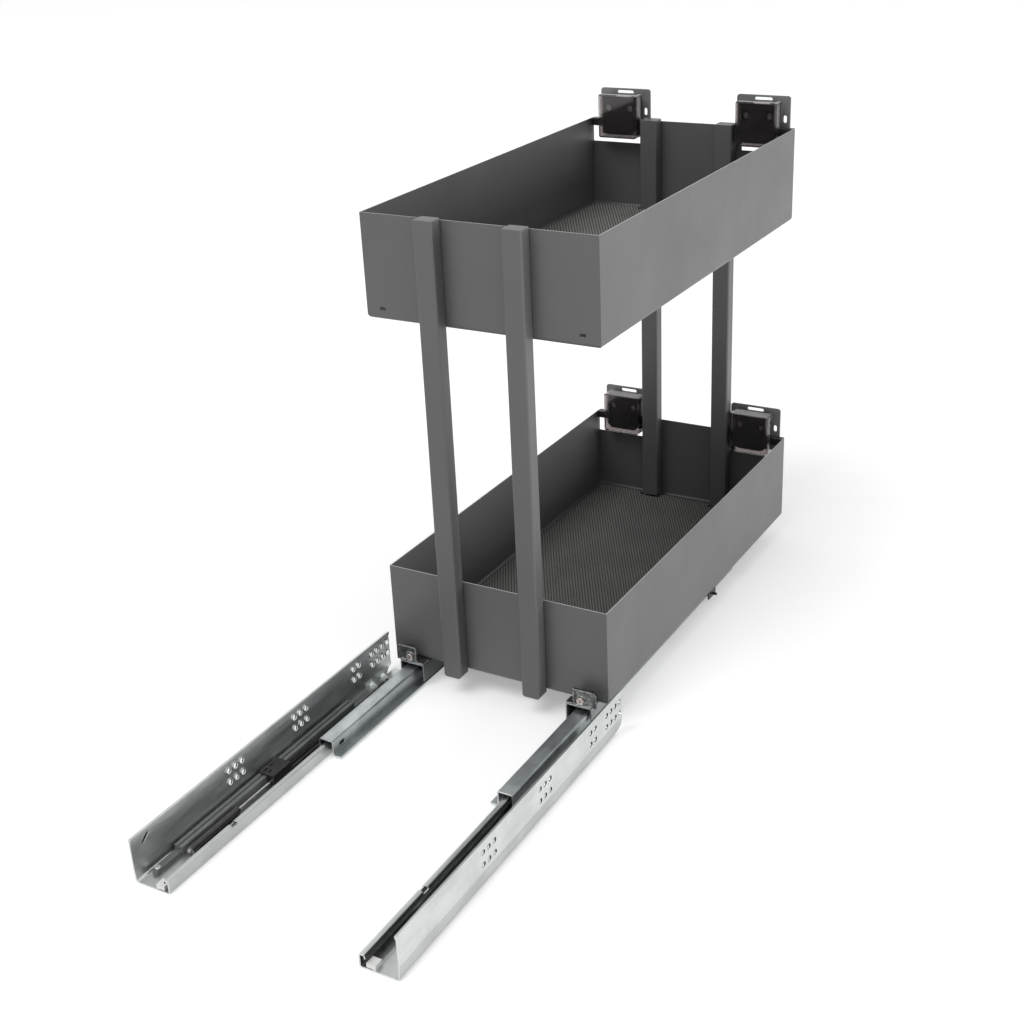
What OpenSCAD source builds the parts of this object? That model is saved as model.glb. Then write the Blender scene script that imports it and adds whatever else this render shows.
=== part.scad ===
// Two-tier pull-out basket for a narrow base cabinet, seen from the cabinet's back wall.
// Millimetres, X across the cabinet, +Y towards the door, +Z up.
// The origin is midway across and along the object as drawn, at the underside of the cabinet rails.
// The basket is drawn pulled out. Slide and bracket parts are drawn on the right and mirrored.

/* [Trays] */
// Outside width of each tray
tray_w = 238; // [220:1:300]
// Outside length of each tray
tray_l = 462; // [430:1:520]
// Outside height of each tray
tray_h = 98.1; // [85:0.1:140]
// Thickness of the tray sheet
tray_sheet = 1; // [0.8:0.1:1.4]
// Outer radius of the folds along the tray floor
tray_bend = 4.5; // [3:0.1:6]
// Height from one tray floor to the next
tier_rise = 352.2; // [250:0.1:450]
// Diameter of the relief hole at each floor corner
relief_d = 3; // [2:0.1:4]
// Distance of a relief hole from the outer faces of the two walls
relief_in = 4.2; // [4:0.1:6]
// Thickness of the anti-slip mats
mat_t = 1.6; // [1:0.1:3]
// Clearance between a mat and the posts that stand in it
mat_gap = 2; // [1:0.1:4]
// Corner radius of the mats
mat_round = 4; // [2:0.5:10]
// Width of the notches in the front wall, from the side wall inwards
notch_w = 58; // [50:0.5:62]
// Depth of the notches below the rim
notch_drop = 26; // [22:0.5:32]

/* [Posts] */
// Width of a post across the tray
post_w = 20; // [16:0.5:24]
// Depth of a post along the tray
post_d = 15; // [10:0.5:18]
// Wall of the post tube
post_wall = 1.2; // [1:0.1:1.5]
// Corner radius of the post tube
post_round = 2; // [1.6:0.1:3]
// Distance between the centre lines of two posts
post_pitch = 88; // [70:1:96]
// Length of a rear post below the lower tray
rear_post_drop = 3; // [1:0.1:5]
// Length of a rear post above the upper rim
rear_post_over = 1.8; // [0.5:0.1:5]
// Length of a front post above the upper rim
front_post_over = 2.8; // [0.5:0.1:5]
// Corner radius at the foot of a rear post
foot_round = 4; // [1:0.5:6]
// Bevel round the top of each post
post_bevel = 0.8; // [0.3:0.1:1.5]
// Height of the lower post screw above the tray bottom
screw_low = 25; // [15:0.5:35]
// Height of the upper post screw above the tray bottom
screw_high = 62; // [45:0.5:66]

/* [Cabinet rails] */
// Gap between a tray side and the outer face of the rail beside it
side_gap = 12.5; // [12:0.1:20]
// Length of a cabinet rail
rail_len = 381; // [370:1:420]
// Height of a cabinet rail
rail_h = 43; // [40:0.5:60]
// Thickness of the rail sheet
rail_sheet = 1.2; // [1:0.1:1.5]
// Width of a rail from its outer face to the inner side of its bead
rail_w = 37.4; // [37:0.1:40]
// Height of the bead along the rail's inner edge
bead_h = 13.3; // [12:0.1:16]
// Width of the bead
bead_w = 6; // [5:0.1:7]
// Length of the lip that turns down inside the bead
bead_lip = 4; // [2.5:0.1:6]
// Bevel along the rail's lower outer edge
rail_bevel = 3; // [3:0.1:6]
// Height of the folded hem on the rail's top edge
hem_h = 3; // [2:0.1:6]
// Thickness of the hem
hem_t = 0.9; // [0.5:0.1:1.2]
// Diameter of the system holes
hole_d = 5.6; // [4:0.1:6.4]
// Distance between columns of holes in a group
hole_pitch = 9; // [8:0.1:10]
// Distance between groups is a whole number of these steps
system_pitch = 32; // [30:1:34]
// Height of the lower row of holes
row_low = 21; // [18:0.1:24]
// Height of the upper row of holes
row_high = 32.9; // [30:0.1:35]
// Distance of the first column from the rail's front end
hole_end = 4.5; // [4:0.1:8]
// Height of the collar that stands inwards round each hole
collar_h = 1; // [0.5:0.1:1.4]
// Length of the slanted groove near the rail's rear end
slant_l = 11; // [8:0.5:12]
// Width of the slanted groove
slant_w = 3; // [2:0.1:3.4]

/* [Slides] */
// How far the basket slides in
travel = 350; // [300:1:356]
// Distance from the rail's rear end to the tray's rear wall with the basket in
rear_set = 28; // [24:0.5:40]
// Length of a drawer rail
slide_len = 350; // [330:1:380]
// How far a drawer rail stands out behind the tray
drawer_back = 12; // [11:0.5:15]
// Length of a middle rail
mid_len = 319.5; // [310:0.5:340]
// Thickness of the sheet of the middle and drawer rails
slide_sheet = 1.2; // [1:0.1:1.4]
// Height of the roller gap between the bead and the middle rail
low_gap = 3.5; // [3:0.1:5]
// Height of the roller gap between the middle rail and the drawer rail
high_gap = 4.8; // [4:0.1:6]
// Gap outside the bead and inside the middle rail's outer leg
mid_out_gap = 2.3; // [1.5:0.1:3]
// Width of the roller gap between the bead and the middle rail's inner leg
mid_in_gap = 5; // [4:0.1:6]
// Gap between the outer legs of the middle rail and the drawer rail
drawer_out_gap = 2.2; // [1.5:0.1:3]
// Width of the roller gap between the inner legs of the two rails
drawer_in_gap = 6.8; // [5:0.1:8]
// Height of the middle rail's outer leg
mid_out_leg = 12; // [8:0.1:13]
// Height of the middle rail's inner leg, with its foot
mid_in_leg = 15.8; // [14:0.1:16]
// Width of the foot that turns inwards below the middle rail's inner leg
mid_foot = 7.6; // [5:0.1:9]
// Height of the drawer rail's outer leg
drawer_out_leg = 15.5; // [12:0.1:16]
// Height of the drawer rail's inner leg
drawer_in_leg = 18.5; // [14:0.1:19]

/* [Roller cages] */
// Length of a roller cage
cage_len = 150; // [120:1:155]
// Wall of a roller cage
cage_t = 1.6; // [1.2:0.1:2]
// Clearance above and below a roller
roller_clear = 0.15; // [0.1:0.01:0.25]
// Clearance between a roller and its window
window_clear = 0.25; // [0.2:0.01:0.4]
// Length of the rollers that lie across
roller_l = 5; // [4:0.1:6]
// Length of the rollers that stand
guide_l = 6; // [4:0.1:7]
// Stations of rollers in a cage
roller_n = 5; // [3:1:6]

/* [Soft close] */
// How far the catch is drawn in
pull_in = 45; // [30:1:50]
// Place of the catch slot behind the tray's rear wall, with the catch ready
catch_back = 28; // [24:0.5:40]
// Width of the housing
housing_w = 9; // [7:0.1:10]
// Height of the housing
housing_h = 8; // [6:0.1:9]
// Front end of the housing behind the tray's rear wall
housing_front = 79; // [70:1:90]
// Length of the housing
housing_l = 254; // [240:1:262]
// Gap between the rail's flange and the housing
housing_off = 3; // [2:0.1:3.4]
// Length of the saddle
saddle_l = 26; // [20:1:32]
// Outer diameter of the damper cylinder
damper_d = 6.6; // [6:0.1:7]
// Diameter of the damper rod
rod_d = 2.5; // [2:0.1:3]
// Length of the damper cylinder
damper_l = 64; // [56:1:68]
// Diameter of the trigger pin
pin_d = 3; // [2:0.1:3]

/* [Brackets] */
// Distance of a bracket's middle from the tray's middle
bracket_x = 81; // [78:0.5:90]
// Width of the smoked cover
cover_w = 48; // [44:0.5:50]
// Height of the smoked cover
cover_h = 47; // [44:0.5:52]
// Height of the cover above the rim
cover_up = 28.5; // [24:0.1:32]
// Depth of the cover
cover_d = 15.5; // [14:0.1:18]
// Wall of the cover
cover_t = 1.4; // [1:0.1:2]
// Corner radius of the cover
cover_round = 4; // [2:0.1:6]
// Width of the adjuster body
body_w = 37; // [34:0.5:40]
// Height of the adjuster body
body_h = 41; // [38:0.5:42]
// Radius of the body's lower corners
body_round = 5.5; // [3:0.1:8]
// Gap between the body's front and the inside of the cover
body_front = 3.6; // [2:0.1:5]
// Height of the ears
ear_h = 8; // [5:0.1:10]
// Depth of the ears in front of the tray's wall
ear_d = 4; // [3:0.1:6]
// Width of the door plate
plate_w = 60; // [54:0.5:62]
// Height of the door plate
plate_h = 52; // [48:0.5:58]
// Height of the door plate above the rim
plate_up = 32; // [28:0.5:36]
// Thickness of the door plate
plate_t = 2; // [1.5:0.1:3]
// Distance from the tray's front wall to the door
door_gap = 8; // [7:0.1:12]
// Length of the slots for the door screws
door_slot_l = 8; // [6:0.5:12]
// Width of the slots for the door screws
door_slot_w = 4; // [3:0.1:5]
// Distance between the two door screw slots
door_slot_pitch = 49; // [46:0.5:52]
// Height of the door screw slots above the rim
door_slot_up = 8; // [4:0.5:14]
// Length of the slot along the plate's top
top_slot_l = 20; // [12:0.5:26]

/* [Hidden] */

// Overrun of every cut past the face that it opens
over = 1;
// Facets of the round forms
$fn = 48;
// Radius of the sheet's middle in a fold, and the steps that the fold takes
sheet_bend = 1.4;
bend_steps = 3;
half_turn = 180;

// Planes of the whole object
whole_l = rear_set + travel + tray_l + door_gap;
rail_y0 = -whole_l / 2;
rail_y1 = rail_y0 + rail_len;
basket_y0 = rail_y0 + rear_set + travel;
basket_y1 = basket_y0 + tray_l;
door_y = basket_y1 + door_gap;
face_x = tray_w / 2 + side_gap;

// Heights of the slide's layers
mid_top = bead_h + low_gap + slide_sheet;
tray_z = mid_top + high_gap + slide_sheet;
upper_z = tray_z + tier_rise;
tiers = [tray_z, upper_z];

// Distances inwards from the outer face of a cabinet rail
bead_u = rail_w - bead_w;
mid_u0 = bead_u - mid_out_gap - slide_sheet;
mid_u1 = rail_w + mid_in_gap + slide_sheet;
foot_u = mid_u1 + mid_foot;
drawer_u0 = mid_u0 - drawer_out_gap - slide_sheet;
drawer_u1 = mid_u1 + drawer_in_gap + slide_sheet;

// Places of the slides along Y at rest
drawer_y0 = basket_y0 - drawer_back;
drawer_y1 = drawer_y0 + slide_len;
mid_y1 = drawer_y1 - travel / 2;
mid_y0 = mid_y1 - mid_len;
low_cage_y0 = (mid_y0 + rail_y1 - cage_len) / 2;
high_cage_y0 = (drawer_y0 + mid_y1 - cage_len) / 2;

// Metal screws of the posts and brackets
screw_d = 4;
screw_fit = 0.1;
head_d = 8;
head_h = 2.2;
head_round = 1;
socket_d = 2.4;
socket_deep = 1.2;
shank_past = 3;

// Slot in the rear wall for the hook's tongue
tongue_slot_w = 6;
tongue_slot_h = 3;
tongue_slot_in = 17.3;
tongue_slot_x = tray_w / 2 - tongue_slot_in;
tongue_slot_z = 10.5;
tongue_clear = 0.4;

// Rear hook
hook_t = 1.5;
hook_wide = 23.5;
hook_high = 17.5;
hook_out = 4.5;
hook_corner = 4;
hook_rim = 1.2;
hook_dish = 1.6;
hook_screw_in = 23.3;
hook_screw_x = tray_w / 2 - hook_screw_in;
hook_screw_z = 5.6;
hook_screw_d = 5;
hook_head_d = 8;
hook_head_h = 2;
washer_d = 10.6;
washer_t = 0.8;
tongue_past = 3;
tongue_up = 1.4;
hook_base_in = 1;

// Slots, notches and marks of the cabinet rail
notch_rail_y = 83;
notch_rail_l = 7;
notch_rail_h = 2.5;
corner_cut = 6;
corner_cut_y = 18;
slant_back = 17.4;
slant_mid = 34.1;
slant_turn = 40;
collar_t = 0.9;
crease_z = 14;
crease_in = 0.8;
rib_w = 3;
rib_h = 8;
rib_l = 11;
rib_back = 15.5;
rib_pitch = 19.5;
emboss_u = 22.5;
emboss_w = 3;
emboss_h = 0.4;

// Oval hole near the rear end of the middle rail
oval_back = 14;
oval_l = 9;
oval_w = 4;
oval_z = 10;

// Stop pad beside the bead's rear end
stop_l = 9;
stop_w = 8.6;
stop_h = 4;
stop_in = 0.6;

// Soft-close parts
tail_l = 32;
tail_h = 3.8;
tail_hole = 3.6;
tail_hole_back = 5.5;
tail_in = 1.2;
bend_past = 0.4;
tail_head_d = 6;
tail_head_h = 1.2;
tail_socket = 0.9;
groove_w = 2;
groove_deep = 1.5;
saddle_t = 2;
saddle_clear = 0.3;
saddle_foot = 3;
saddle_round = 4;
saddle_slot_l = 5;
saddle_slot_w = 2;
saddle_slots = [[4, 6], [9, 6], [4, 14]];
strip_w = 2.2;
strip_h = 3;
strip_lift = 0.3;
strip_gap = 2.6;
hook_block_l = 17;
hook_block_h = 4.6;
catch_slot_l = 4.4;
catch_slot_deep = 2.4;
pin_past = 5;
pin_clear = 0.3;
clamp_l = 8;
clamp_wall = 1;
tip_d = 3;
tip_l = 2;
rod_fit = 0.05;
rod_in = 3;
damper_end = 3;
damper_in = 4;
rod_clear = 2;

// Trigger on the drawer rail's outer leg
trigger_y = 277;
trigger_l = 18;
trigger_t = 1.8;
trigger_low = 4;
trigger_top = 6;

// Front catch and its lever
catch_l = 48;
catch_u0 = 25;
catch_u1 = 50;
catch_h = 9.6;
catch_wall = 2;
lever_t = 3;
lever_clear = 0.4;
lever_pivot_d = 5;
lever_pivot_fit = 0.05;
lever_pivot_y = 9;
lever_pivot_u = 32;
lever_arm = 26;
lever_tip = 6.5;
lever_w = 6;

// Bracket parts
body_back = door_y - plate_t - basket_y1;
body_down = cover_up - cover_h + cover_t + body_front / 2;
cover_gap = 0.4;
ear_groove = 0.1;
ear_over = 3;
ear_side = 0.2;
ear_back = 3;
ear_clear = 0.3;
adjust_x = 13;
adjust_up = 13;
adjust_d = 8;
adjust_deep = 5;
adjust_head = 6.8;
adjust_head_h = 3;
plate_round = 3;
top_slot_w = 4;
top_slot_down = 4;
clamp_screw_x = 11;
clamp_screw_up = 2;
sunk_d = 7.4;
sunk_shank = 9;

// Solid spanned along Y, from a flat outline in X and Z
module along_y(y0, y1) translate([0, y1, 0]) rotate([90, 0, 0]) linear_extrude(y1 - y0) children();

// Solid spanned along X, from a flat outline in Y and Z
module along_x(x0, x1) translate([x0, 0, 0]) rotate([90, 0, 90]) linear_extrude(x1 - x0) children();

// Box between two distances inwards from the rail's outer face
module block(u0, u1, y0, y1, z0, z1)
    translate([face_x - u1, y0, z0]) cube([u1 - u0, y1 - y0, z1 - z0]);

// Rectangle with round corners, centred
module round_rect(w, h, r) {
    square([w, h - r - r], center = true);
    square([w - r - r, h], center = true);
    for (sx = [-1, 1], sz = [-1, 1]) translate([sx * (w / 2 - r), sz * (h / 2 - r)]) circle(r = r);
}

// Rectangle on its lower edge with round lower corners
module round_foot(w, h, r) {
    translate([-w / 2, r]) square([w, h - r]);
    translate([r - w / 2, 0]) square([w - r - r, h]);
    for (s = [-1, 1]) translate([s * (w / 2 - r), r]) circle(r = r);
}

// Slot with round ends along the first axis, centred
module long_slot(l, w) {
    square([l - w, w], center = true);
    for (s = [-1, 1]) translate([s * (l - w) / 2, 0]) circle(d = w);
}

// Sheet of one thickness folded along a chain of points, with round bends in a few steps each
function unit(v) = v / norm(v);
function turned(v) = [-v[1], v[0]];
function angle_of(v) = atan2(v[1], v[0]);
function bend_points(before, corner, after, r) =
    let(a = unit(before - corner), b = unit(after - corner), half = acos(a * b) / 2)
    let(middle = corner + unit(a + b) * r / sin(half), start = corner + a * r / tan(half) - middle)
    let(sweep = sign(cross(a, b)) * (2 * half - half_turn))
    [for (k = [0 : bend_steps]) middle + r * [cos(angle_of(start) + sweep * k / bend_steps),
        sin(angle_of(start) + sweep * k / bend_steps)]];
function rounded_chain(p, r) = concat([p[0]],
    [for (i = [1 : len(p) - 2]) each bend_points(p[i - 1], p[i], p[i + 1], r)], [p[len(p) - 1]]);
function side_points(q, d) = [for (i = [0 : len(q) - 1])
    let(after = unit(i < len(q) - 1 ? q[i + 1] - q[i] : q[i] - q[i - 1]))
    let(before = unit(i > 0 ? q[i] - q[i - 1] : q[i + 1] - q[i]), m = turned(unit(before + after)))
    q[i] + m * d / (m * turned(after))];
function backwards(q) = [for (i = [1 : len(q)]) q[len(q) - i]];
module folded(points, t) {
    chain = rounded_chain(points, sheet_bend);
    polygon(concat(side_points(chain, t / 2), backwards(side_points(chain, -t / 2))));
}

module left() mirror([1, 0, 0]) children();

module both() {
    children();
    left() children();
}

// Trays: a folded box, open at the top, with its cut-outs
module tray_block(w, l, h, r, y0) intersection() {
    along_y(y0, y0 + l) round_foot(w, h, r);
    along_x(-w / 2, w / 2) translate([y0 + l / 2, 0]) round_foot(l, h, r);
}

module tray(front_posts_pass) difference() {
    tray_block(tray_w, tray_l, tray_h, tray_bend, basket_y0);
    translate([0, 0, tray_sheet])
        tray_block(tray_w - 2 * tray_sheet, tray_l - 2 * tray_sheet, tray_h,
            tray_bend - tray_sheet, basket_y0 + tray_sheet);
    for (s = [-1, 1]) {
        translate([s > 0 ? tray_w / 2 - tray_sheet - notch_w : tray_sheet - tray_w / 2,
            basket_y1 - tray_sheet - over, tray_h - notch_drop])
            cube([notch_w, tray_sheet + 2 * over, notch_drop + over]);
        translate([s * tongue_slot_x - tongue_slot_w / 2, basket_y0 - over,
            tongue_slot_z - tongue_slot_h / 2])
            cube([tongue_slot_w, tray_sheet + 2 * over, tongue_slot_h]);
        for (y = [basket_y0 + relief_in, basket_y1 - relief_in])
            translate([s * (tray_w / 2 - relief_in), y, -over]) cylinder(d = relief_d,
                h = tray_bend + 2 * over);
        for (z = [screw_low, screw_high]) {
            along_screw(s * post_pitch / 2, basket_y0 - over, basket_y0 + tray_sheet + over, z,
                screw_d / 2 + screw_fit);
            along_screw(s * post_pitch / 2, basket_y1 - tray_sheet - over, basket_y1 + over, z,
                screw_d / 2 + screw_fit);
        }
        if (front_posts_pass)
            translate([s * post_pitch / 2 - post_w / 2 - mat_gap / 2, front_post_y0 - mat_gap / 2, -over])
                cube([post_w + mat_gap, basket_y1 - tray_sheet - front_post_y0 + mat_gap / 2,
                    tray_bend + over]);
    }
}

module along_screw(x, y0, y1, z, r) translate([x, y1, z]) rotate([90, 0, 0]) cylinder(r = r, h = y1 - y0);

module lower_tray() color("#646664") translate([0, 0, tray_z]) tray(false);
module upper_tray() color("#646664") translate([0, 0, upper_z]) tray(true);

// Mats: flat sheets on the tray floors, cut out round the front posts
module mat() difference() {
    inset = tray_bend + tray_sheet / 2;
    translate([0, basket_y0 + tray_l / 2, tray_sheet]) linear_extrude(mat_t)
        round_rect(tray_w - 2 * inset, tray_l - 2 * inset, mat_round);
    for (s = [-1, 1])
        translate([s * post_pitch / 2 - post_w / 2 - mat_gap, front_post_y0 - mat_gap, 0])
            cube([post_w + 2 * mat_gap, post_d + 2 * mat_gap, tray_sheet + mat_t + over]);
}
module lower_mat() color("#3a3a3a") translate([0, 0, tray_z]) mat();
module upper_mat() color("#3a3a3a") translate([0, 0, upper_z]) mat();

// Posts: closed tubes with round edges, a bevelled top and threaded holes at each tray
rear_post_z0 = tray_z - rear_post_drop;
rear_post_z1 = upper_z + tray_h + rear_post_over;
front_post_z0 = tray_z + tray_bend;
front_post_z1 = upper_z + tray_h + front_post_over;
front_post_y0 = basket_y1 - tray_sheet - post_d;
rear_post_y0 = basket_y0 - post_d;

module post_outline(h, r) difference() {
    round_foot(post_w, h, r);
    for (s = [-1, 1]) translate([s * post_w / 2, h]) rotate(45)
        square(post_bevel * sqrt(2), center = true);
}

module post(y0, z0, z1, r, hole_y) difference() {
    intersection() {
        translate([0, y0 + post_d / 2, z0]) linear_extrude(z1 - z0) round_rect(post_w, post_d, post_round);
        translate([0, 0, z0]) along_y(y0 - over, y0 + post_d + over) post_outline(z1 - z0, r);
    }
    translate([0, y0 + post_d / 2, z0 + post_wall]) linear_extrude(z1 - z0 - 2 * post_wall)
        round_rect(post_w - 2 * post_wall, post_d - 2 * post_wall, post_round - post_wall);
    for (t = tiers, z = [screw_low, screw_high])
        along_screw(0, hole_y - post_wall / 2 - over, hole_y + post_wall / 2 + over, t + z,
            screw_d / 2 + screw_fit);
}
module rear_post(s) color("#686a68") translate([s * post_pitch / 2, 0, 0])
    post(rear_post_y0, rear_post_z0, rear_post_z1, foot_round, basket_y0 - post_wall / 2);
module front_post(s) color("#686a68") translate([s * post_pitch / 2, 0, 0])
    post(front_post_y0, front_post_z0, front_post_z1, post_bevel, basket_y1 - tray_sheet - post_wall / 2);
module rear_post_left() rear_post(-1);
module rear_post_right() rear_post(1);
module front_post_left() front_post(-1);
module front_post_right() front_post(1);

// Pan head screw along +Y, with the underside of its head at the origin
module pan_screw(d, hd, hh, l, socket, deep) rotate([90, 0, 0]) difference() {
    union() {
        rotate_extrude() {
            square([hd / 2, hh - head_round]);
            square([hd / 2 - head_round, hh]);
            translate([hd / 2 - head_round, hh - head_round]) intersection() {
                circle(r = head_round);
                square(head_round);
            }
        }
        translate([0, 0, -l]) cylinder(d = d, h = l);
    }
    translate([0, 0, hh - deep]) cylinder(d = socket, h = deep + over, $fn = 6);
}

module post_screw() pan_screw(screw_d, head_d, head_h, tray_sheet + post_wall + shank_past, socket_d,
    socket_deep);

module post_screws() color("#9a9c9c")
    for (s = [-1, 1], t = tiers, z = [screw_low, screw_high]) {
        translate([s * post_pitch / 2, basket_y1, t + z]) rotate([0, 0, 180]) post_screw();
        translate([s * post_pitch / 2, basket_y0 + tray_sheet, t + z]) rotate([0, 0, 180]) post_screw();
    }

// Brackets: drawn at the right of the upper rim's level and placed at the four corners
module place_bracket(s, t)
    if (s > 0) translate([bracket_x, basket_y1, t + tray_h]) children();
    else translate([-bracket_x, basket_y1, t + tray_h]) left() children();

// Door plate: flat steel with a slot along its top and an upright slot at each side
module door_plate() color("#5c5e5c") difference() {
    along_y(body_back, body_back + plate_t) difference() {
        translate([0, plate_up - plate_h / 2]) round_rect(plate_w, plate_h, plate_round);
        translate([0, plate_up - top_slot_down]) long_slot(top_slot_l, top_slot_w);
        for (s = [-1, 1]) translate([s * door_slot_pitch / 2, door_slot_up]) rotate(90)
            long_slot(door_slot_l, door_slot_w);
    }
    for (s = [-1, 1]) sunk_screw(s * clamp_screw_x, screw_fit, over);
}

// Countersunk screw from the plate's back into the body
module sunk_screw(x, fit, past) {
    deep = sunk_d / 2 - screw_d / 2;
    along_screw(x, body_back - sunk_shank, body_back + plate_t, clamp_screw_up, screw_d / 2 + fit);
    translate([x, body_back + plate_t, clamp_screw_up]) rotate([90, 0, 0])
        cylinder(r1 = sunk_d / 2 + fit, r2 = screw_d / 2 + fit, h = deep);
    if (past > 0) along_screw(x, body_back + plate_t, body_back + plate_t + past, clamp_screw_up,
        sunk_d / 2 + fit);
}

// Adjuster body: a block behind the cover, with ears that take the tray's wall in a groove
ear_in = bracket_x - (tray_w / 2 - tray_sheet - notch_w);
ear_out = tray_w / 2 - tray_sheet - ear_side - bracket_x;
body_y0 = -tray_sheet - cover_gap - cover_d + cover_t + body_front;

module adjuster() color("#262525") difference() {
    union() {
        along_y(body_y0, body_back) translate([0, body_down]) round_foot(body_w, body_h, body_round);
        translate([-ear_in - ear_over, -tray_sheet - ear_groove - ear_d, -ear_h])
            cube([ear_in + ear_over + ear_out, ear_d + tray_sheet + 2 * ear_groove + ear_back, ear_h]);
    }
    translate([-ear_in - ear_over - over, -tray_sheet - ear_groove, -ear_h - over])
        cube([ear_over + over + ear_groove, tray_sheet + 2 * ear_groove, ear_h + 2 * over]);
    for (s = [-1, 1]) {
        along_screw(s * adjust_x, body_y0 - over, body_y0 + adjust_deep, adjust_up, adjust_d / 2);
        along_screw(s * adjust_x, body_y0 + adjust_deep - over, body_y0 + adjust_deep + sunk_shank,
            adjust_up,
            screw_d / 2 + screw_fit);
        along_screw(s * clamp_screw_x, body_back - sunk_shank - over, body_back + over, clamp_screw_up,
            screw_d / 2 + screw_fit);
    }
}

// Cover: a thin box over the body, open towards the wall and slotted for the ears
module cover_block(w, h, r, y0, y1) intersection() {
    along_y(y0, y1) round_rect(w, h, r);
    translate([0, y0 + cover_d, -h / 2]) linear_extrude(h) round_rect(w, 2 * cover_d, r);
}
module adjuster_cover() color("#6e6868") {
    y1 = -tray_sheet - cover_gap;
    y0 = y1 - cover_d;
    translate([0, 0, cover_up - cover_h / 2]) difference() {
        cover_block(cover_w, cover_h, cover_round, y0, y1);
        cover_block(cover_w - 2 * cover_t, cover_h - 2 * cover_t, cover_round - cover_t, y0 + cover_t,
            y1 + over);
        translate([-cover_w / 2 - over, -tray_sheet - ear_groove - ear_d - ear_clear,
            cover_h / 2 - cover_up - ear_h - ear_clear])
            cube([cover_w + 2 * over, ear_d + ear_clear + over, ear_h + 2 * ear_clear]);
    }
}

module door_plate_lower_left() place_bracket(-1, tray_z) door_plate();
module door_plate_lower_right() place_bracket(1, tray_z) door_plate();
module door_plate_upper_left() place_bracket(-1, upper_z) door_plate();
module door_plate_upper_right() place_bracket(1, upper_z) door_plate();
module adjuster_lower_left() place_bracket(-1, tray_z) adjuster();
module adjuster_lower_right() place_bracket(1, tray_z) adjuster();
module adjuster_upper_left() place_bracket(-1, upper_z) adjuster();
module adjuster_upper_right() place_bracket(1, upper_z) adjuster();
module cover_lower_left() place_bracket(-1, tray_z) adjuster_cover();
module cover_lower_right() place_bracket(1, tray_z) adjuster_cover();
module cover_upper_left() place_bracket(-1, upper_z) adjuster_cover();
module cover_upper_right() place_bracket(1, upper_z) adjuster_cover();

module adjusting_screws() color("#8a8c8c")
    for (s = [-1, 1], t = tiers) place_bracket(s, t)
        for (x = [-adjust_x, adjust_x]) translate([x, body_y0 + adjust_deep, adjust_up])
            pan_screw(screw_d, adjust_head, adjust_head_h, sunk_shank, socket_d, socket_deep);

module plate_screws() color("#8a8c8c")
    for (s = [-1, 1], t = tiers) place_bracket(s, t)
        for (x = [-clamp_screw_x, clamp_screw_x]) sunk_screw(x, 0, 0);

// Cabinet rail: flange with hem, bevelled lower edge, floor and an open bead
module cabinet_rail() color("#b9bebd") difference() {
    union() {
        along_y(rail_y0, rail_y1) translate([face_x, 0]) mirror([1, 0]) {
            h = rail_sheet / 2;
            folded([[h, rail_h], [h, crease_z], [h + crease_in, rail_bevel], [rail_bevel + crease_in, h],
                [rail_w - h, h], [rail_w - h, bead_h - h], [bead_u + h, bead_h - h],
                [bead_u + h, bead_h - bead_lip]], rail_sheet);
        }
        block(rail_sheet / 2, rail_sheet + hem_t, rail_y0, rail_y1, rail_h - hem_h, rail_h);
        block(emboss_u, emboss_u + emboss_w, rail_y0, rail_y1, rail_sheet / 2, rail_sheet + emboss_h);
        rail_holes(rail_sheet / 2, rail_sheet + collar_h, hole_d + 2 * collar_t);
        for (k = [0, 1]) bend_rib(rail_y1 - rib_back - k * rib_pitch);
    }
    rail_holes(-over, rail_sheet + collar_h + over, hole_d);
    block(bead_u - over, rail_w + over, rail_y0 + notch_rail_y, rail_y0 + notch_rail_y + notch_rail_l,
        bead_h - notch_rail_h, bead_h + over);
    translate([face_x - tail_u, tail_y, -over]) cylinder(d = tail_hole, h = rail_sheet + 2 * over);
    translate([face_x - rail_bevel - crease_in - over, rail_y1, 0])
        along_x(0, rail_bevel + crease_in + 2 * over)
        polygon([[-corner_cut_y, -over], [over, -over], [over, corner_cut]]);
    translate([face_x - rail_sheet - over, rail_y0 + slant_back, slant_mid])
        along_x(0, rail_sheet / 2 + over) rotate(slant_turn) long_slot(slant_l, slant_w);
}

// Round bar at each hole of the flange, between two distances from its outer face
module rail_holes(u0, u1, d)
    for (g = hole_groups, c = [0 : g[1] - 1], z = [row_low, row_high])
        translate([face_x - u0, hole_y0 - g[0] * system_pitch + c * hole_pitch, z]) rotate([0, -90, 0])
            cylinder(d = d, h = u1 - u0);

// Pressed rib across the rail's lower bend
module bend_rib(y0) along_y(y0 - rib_w, y0) translate([face_x, 0]) mirror([1, 0])
    polygon([[rail_sheet / 2, rib_h], [rail_sheet / 2 + crease_in, rail_bevel],
        [rail_bevel + crease_in, rail_sheet / 2], [rib_l, rail_sheet / 2]]);

// Groups of holes: system steps back from the first group, and number of columns
hole_groups = [[0, 4], [1, 2], [4, 3], [7, 3]];
hole_y0 = rail_y1 - hole_end - 3 * hole_pitch;

module cabinet_rail_left() left() cabinet_rail();
module cabinet_rail_right() cabinet_rail();

// Stop pad on the rail's raised rib, beside the bead's rear end
module rail_stop() color("#dcdcd8") {
    z0 = rail_sheet + emboss_h;
    block(bead_u - stop_w, bead_u, rail_y0 + stop_in, rail_y0 + stop_in + stop_l, z0, z0 + stop_h);
}
module rail_stop_left() left() rail_stop();
module rail_stop_right() rail_stop();

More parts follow.
